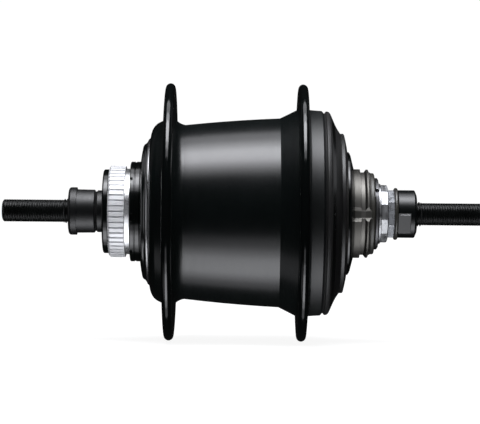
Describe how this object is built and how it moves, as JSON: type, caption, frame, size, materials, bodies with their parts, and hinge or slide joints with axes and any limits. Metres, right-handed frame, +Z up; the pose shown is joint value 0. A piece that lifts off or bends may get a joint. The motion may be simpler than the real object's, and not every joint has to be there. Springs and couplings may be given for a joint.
{
  "type": "internal gear hub",
  "caption": "Rear internal gear hub with two spoke flanges, a splined rotor mount, a sprocket driver and a turning shift ring on a threaded axle.",
  "frame": {"origin": "on the axle's axis, midway between the outer faces of the two end nuts, which is also midway between the axle's ends", "axes": "+X along the axle towards the sprocket (drive) side, +Z up, so the picture's camera looks along +Y"},
  "size_m": [0.187, 0.1, 0.1],
  "materials": {
    "shell_black": "black satin anodised aluminium, polished by hand along the edges",
    "gloss_black": "glossy black plated steel covers",
    "bright_aluminium": "machined bright aluminium",
    "axle_black": "black oxide steel",
    "nut_black": "black oxide steel, fine turned",
    "driver_grey": "gunmetal hardened steel",
    "zinc": "zinc-plated steel",
    "blue_zinc": "blue-grey zinc-plated steel",
    "shift_dark": "dark pressed steel",
    "gear_steel": "ground hardened steel with a film of oil",
    "bearing_steel": "polished bearing steel",
    "cage_brass": "pressed brass",
    "rubber": "matt black rubber",
    "cage_plastic": "moulded cage"
  },
  "bodies": {
    "root": {"axle": "axle_black", "left_end_nut": "nut_black", "left_lock_washer": "nut_black", "left_lock_nut": "nut_black", "left_dust_cap": "gloss_black", "left_cone": "bearing_steel", "carrier_clip": "gear_steel", "large_sun_gear": "gear_steel", "sun_thrust_washer": "cage_brass", "right_cone": "bearing_steel", "fixing_ring": "zinc", "right_lock_nut": "blue_zinc", "rubber_ring": "rubber", "right_end_nut": "nut_black"},
    "shell": {"hub_shell": "shell_black", "left_cover": "gloss_black", "rotor_mount": "bright_aluminium", "rotor_lock_ring": "gloss_black", "left_ball_cup": "bearing_steel", "left_seal": "rubber", "right_ball_cup": "gloss_black", "outer_dust_cap": "gloss_black", "clutch_race": "bearing_steel", "ratchet_ring": "gear_steel"},
    "driver": {"driver": "driver_grey", "driver_dust_cap": "gloss_black", "driver_seal": "rubber"},
    "ring_gear": {"ring_gear": "gear_steel"},
    "ring_pawl_1": {"ring_pawl_1": "gear_steel"},
    "ring_pawl_2": {"ring_pawl_2": "gear_steel"},
    "carrier": {"planet_carrier": "gear_steel", "carrier_plate": "gear_steel", "planet_pins": "bearing_steel", "carrier_screws": "nut_black"},
    "planet_1": {"planet_gear_1": "gear_steel"},
    "planet_2": {"planet_gear_2": "gear_steel"},
    "planet_3": {"planet_gear_3": "gear_steel"},
    "small_sun": {"small_sun_gear": "gear_steel"},
    "left_bearing": {"left_balls": "bearing_steel", "left_ball_cage": "cage_brass"},
    "right_inner_bearing": {"right_inner_balls": "bearing_steel", "right_inner_ball_cage": "cage_brass"},
    "right_outer_bearing": {"right_outer_balls": "bearing_steel", "right_outer_ball_cage": "cage_brass"},
    "roller_clutch": {"clutch_rollers": "bearing_steel", "roller_cage": "cage_plastic"},
    "clutch": {"clutch_ring": "gear_steel", "clutch_spring": "bearing_steel"},
    "cam_pusher": {"cam_pusher": "gear_steel"},
    "shift": {"shift_ring": "shift_dark", "control_sleeve": "gear_steel"},
    "small_sun_pawl": {"small_sun_pawl": "gear_steel"},
    "large_sun_pawl": {"large_sun_pawl": "gear_steel"}
  },
  "joints": [
    {"name": "hub_shell_spin", "type": "hinge", "parent": "root", "child": "shell", "pos_m": [0, 0, 0], "axis": [1, 0, 0], "continuous": true},
    {"name": "driver_spin", "type": "hinge", "parent": "root", "child": "driver", "pos_m": [0, 0, 0], "axis": [1, 0, 0], "continuous": true},
    {"name": "ring_gear_spin", "type": "hinge", "parent": "root", "child": "ring_gear", "pos_m": [0, 0, 0], "axis": [1, 0, 0], "continuous": true},
    {"name": "carrier_spin", "type": "hinge", "parent": "root", "child": "carrier", "pos_m": [0, 0, 0], "axis": [1, 0, 0], "continuous": true},
    {"name": "planet_1_spin", "type": "hinge", "parent": "carrier", "child": "planet_1", "pos_m": [-0.008, 0, 0.0189], "axis": [1, 0, 0], "continuous": true},
    {"name": "planet_2_spin", "type": "hinge", "parent": "carrier", "child": "planet_2", "pos_m": [-0.008, -0.01637, -0.00945], "axis": [1, 0, 0], "continuous": true},
    {"name": "planet_3_spin", "type": "hinge", "parent": "carrier", "child": "planet_3", "pos_m": [-0.008, 0.01637, -0.00945], "axis": [1, 0, 0], "continuous": true},
    {"name": "small_sun_spin", "type": "hinge", "parent": "root", "child": "small_sun", "pos_m": [0, 0, 0], "axis": [1, 0, 0], "continuous": true},
    {"name": "left_bearing_spin", "type": "hinge", "parent": "root", "child": "left_bearing", "pos_m": [-0.047, 0, 0], "axis": [1, 0, 0], "continuous": true},
    {"name": "right_inner_bearing_spin", "type": "hinge", "parent": "root", "child": "right_inner_bearing", "pos_m": [0.0446, 0, 0], "axis": [1, 0, 0], "continuous": true},
    {"name": "right_outer_bearing_spin", "type": "hinge", "parent": "root", "child": "right_outer_bearing", "pos_m": [0.0335, 0, 0], "axis": [1, 0, 0], "continuous": true},
    {"name": "roller_clutch_release", "type": "hinge", "parent": "carrier", "child": "roller_clutch", "pos_m": [-0.029, 0, 0], "axis": [1, 0, 0], "range_deg": [-5, 0]},
    {"name": "cam_pusher_slide", "type": "slide", "parent": "root", "child": "cam_pusher", "axis": [-1, 0, 0], "range_m": [0, 0.0042]},
    {"name": "clutch_slide", "type": "slide", "parent": "driver", "child": "clutch", "axis": [-1, 0, 0], "range_m": [0, 0.00421], "deforming": ["clutch_spring"]},
    {"name": "shift_ring_turn", "type": "hinge", "parent": "root", "child": "shift", "pos_m": [0.052, 0, 0], "axis": [1, 0, 0], "range_deg": [0, 48.1]},
    {"name": "small_sun_pawl_lift", "type": "hinge", "parent": "root", "child": "small_sun_pawl", "pos_m": [-0.01425, -0.0012, 0.00645], "axis": [1, 0, 0], "range_deg": [0, 20.1]},
    {"name": "large_sun_pawl_lift", "type": "hinge", "parent": "root", "child": "large_sun_pawl", "pos_m": [-0.0025, -0.00499, -0.00426], "axis": [1, 0, 0], "range_deg": [-20.1, 0]},
    {"name": "ring_pawl_1_lift", "type": "hinge", "parent": "ring_gear", "child": "ring_pawl_1", "pos_m": [0.0085, 0.01051, 0.025], "axis": [1, 0, 0], "range_deg": [0, 14.1]},
    {"name": "ring_pawl_2_lift", "type": "hinge", "parent": "ring_gear", "child": "ring_pawl_2", "pos_m": [0.0085, -0.01051, -0.025], "axis": [1, 0, 0], "range_deg": [0, 14.1]}
  ],
  "couplings": [
    {"joint": "driver_spin", "follows": "hub_shell_spin", "ratio": 1.5},
    {"joint": "ring_gear_spin", "follows": "hub_shell_spin", "ratio": 1.5},
    {"joint": "carrier_spin", "follows": "hub_shell_spin", "ratio": 1},
    {"joint": "planet_1_spin", "follows": "hub_shell_spin", "ratio": 2},
    {"joint": "planet_2_spin", "follows": "hub_shell_spin", "ratio": 2},
    {"joint": "planet_3_spin", "follows": "hub_shell_spin", "ratio": 2},
    {"joint": "small_sun_spin", "follows": "hub_shell_spin", "ratio": -0.6},
    {"joint": "left_bearing_spin", "follows": "hub_shell_spin", "ratio": 0.57938},
    {"joint": "right_inner_bearing_spin", "follows": "hub_shell_spin", "ratio": 0.85881},
    {"joint": "right_outer_bearing_spin", "follows": "hub_shell_spin", "ratio": 1.2344},
    {"joint": "clutch_slide", "follows": "cam_pusher_slide", "ratio": 1},
    {"joint": "shift_ring_turn", "follows": "cam_pusher_slide", "rad_per_m": 199.47},
    {"joint": "small_sun_pawl_lift", "follows": "cam_pusher_slide", "rad_per_m": 83.111},
    {"joint": "large_sun_pawl_lift", "follows": "cam_pusher_slide", "rad_per_m": -83.111},
    {"joint": "ring_pawl_1_lift", "follows": "cam_pusher_slide", "rad_per_m": 58.178},
    {"joint": "ring_pawl_2_lift", "follows": "cam_pusher_slide", "rad_per_m": 58.178}
  ]
}
